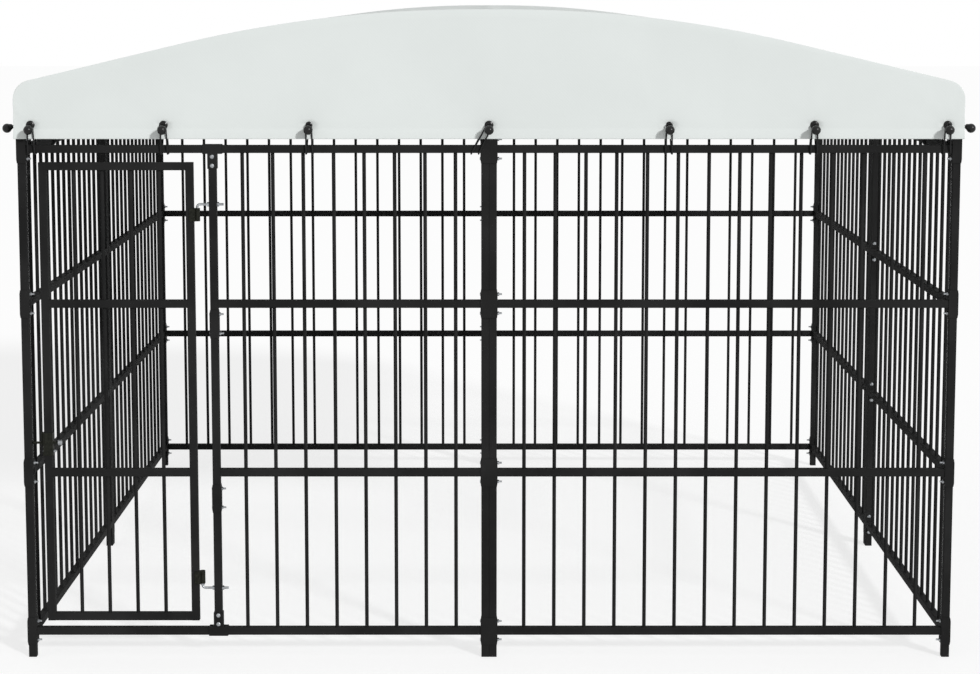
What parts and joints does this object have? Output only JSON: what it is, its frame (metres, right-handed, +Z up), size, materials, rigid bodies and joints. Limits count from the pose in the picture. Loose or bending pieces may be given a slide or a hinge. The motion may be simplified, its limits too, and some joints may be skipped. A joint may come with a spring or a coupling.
{
  "type": "outdoor dog kennel run",
  "caption": "Square outdoor dog kennel run of barred steel panels with a hinged, latched door and an arched cloth roof cover tied down with ball ties.",
  "frame": {"origin": "on the ground, in the middle of the square run", "axes": "+Z up; -Y out through the wall with the door; -X towards the corner beside the door"},
  "size_m": [3.115, 3.115, 2.1],
  "materials": {
    "steel_coat": "satin black powder coat on steel tube",
    "dark_steel": "black coated steel plate",
    "galvanised": "bright zinc plated steel",
    "black_plastic": "moulded black plastic",
    "ball_plastic": "glossy black moulded plastic",
    "elastic_cord": "braided elastic cord",
    "cover_cloth": "coated off-white woven cloth"
  },
  "bodies": {
    "frame": {"post_front_left": "steel_coat", "post_front_right": "steel_coat", "post_back_left": "steel_coat", "post_back_right": "steel_coat", "mid_front_left": "steel_coat", "mid_front_right": "steel_coat", "mid_right_front": "steel_coat", "mid_right_back": "steel_coat", "mid_back_right": "steel_coat", "mid_back_left": "steel_coat", "mid_left_back": "steel_coat", "mid_left_front": "steel_coat", "door_post": "steel_coat", "panel_front_left": "steel_coat", "panel_front_right": "steel_coat", "panel_right_front": "steel_coat", "panel_right_back": "steel_coat", "panel_back_right": "steel_coat", "panel_back_left": "steel_coat", "panel_left_back": "steel_coat", "panel_left_front": "steel_coat", "header_rail": "steel_coat", "sill_rail": "steel_coat", "tee_top": "steel_coat", "tee_bottom": "steel_coat", "corner_clamps": "steel_coat", "mid_clamps": "steel_coat", "door_post_clamps": "steel_coat", "clamp_bolts": "galvanised", "clamp_nuts": "galvanised", "tee_bolts": "galvanised", "tee_nuts": "galvanised", "arch_front_left": "steel_coat", "arch_front_right": "steel_coat", "arch_mid_left": "steel_coat", "arch_mid_right": "steel_coat", "arch_back_left": "steel_coat", "arch_back_right": "steel_coat", "ridge_front": "steel_coat", "ridge_back": "steel_coat", "inner_sleeves": "galvanised", "saddle_plates": "steel_coat", "ridge_screws": "galvanised", "foot_plugs": "black_plastic", "top_plugs": "black_plastic", "roof_cover": "cover_cloth", "cover_eyelets": "ball_plastic", "tie_cords": "elastic_cord", "tie_balls": "ball_plastic", "hinge_pin_top": "galvanised", "hinge_pin_bottom": "galvanised", "hinge_nuts": "galvanised"},
    "door": {"door_panel": "steel_coat", "hinge_eye_top": "dark_steel", "hinge_eye_bottom": "dark_steel", "latch_housing": "dark_steel", "latch_bolt": "galvanised", "latch_nut": "galvanised"},
    "latch_rod": {"latch_rod": "dark_steel", "latch_knob": "galvanised"}
  },
  "joints": [
    {"name": "door_hinge", "type": "hinge", "parent": "frame", "child": "door", "pos_m": [-0.9316, -1.4875, 0.86], "axis": [0, 0, 1], "range_deg": [-95, 110]},
    {"name": "latch_slide", "type": "slide", "parent": "door", "child": "latch_rod", "axis": [1, 0, 0], "range_m": [-0.012, 0.028]}
  ]
}
